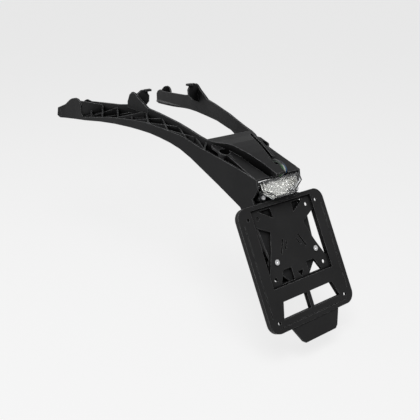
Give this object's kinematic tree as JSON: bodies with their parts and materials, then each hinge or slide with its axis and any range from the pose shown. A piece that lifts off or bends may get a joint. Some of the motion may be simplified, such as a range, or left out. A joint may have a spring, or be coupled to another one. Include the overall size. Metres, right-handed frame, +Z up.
{
  "type": "rear fender extension",
  "caption": "Rear fender extension: moulded carrier with two truss arms and a lamp deck, and a sloping number plate holder with cross arms and a lower tab.",
  "frame": {"origin": "on the rear face of the plate holder, midway between its four corner holes", "axes": "+X to the rear of the vehicle, +Y to its right, +Z up; the plate holder leans 30 degrees, lower edge to the rear"},
  "size_m": [0.6506, 0.242, 0.3046],
  "materials": {
    "carrier_black": "satin grained moulding",
    "holder_black": "satin grained moulding",
    "housing_black": "smooth moulding",
    "reflector_chrome": "bright metallised",
    "lens_clear": "clear moulded",
    "board_green": "lacquered board",
    "led_white": "clear resin",
    "screw_steel": "bright",
    "bush_steel": "turned",
    "sheath_black": "matt sleeve",
    "lead_green": "insulation",
    "lead_white": "insulation",
    "lead_blue": "insulation",
    "plug_black": "smooth moulding"
  },
  "bodies": {
    "root": {"fender_carrier": "carrier_black", "plate_holder": "holder_black", "lamp_housing": "housing_black", "lamp_reflector": "reflector_chrome", "lamp_lens": "lens_clear", "lamp_board": "board_green", "lamp_leds": "led_white", "lamp_screws": "screw_steel", "holder_screws": "screw_steel", "holder_nuts": "screw_steel", "deck_bushes": "bush_steel", "cable_sheath": "sheath_black", "wire_green": "lead_green", "wire_white": "lead_white", "wire_blue": "lead_blue", "cable_plug": "plug_black"}
  },
  "joints": []
}
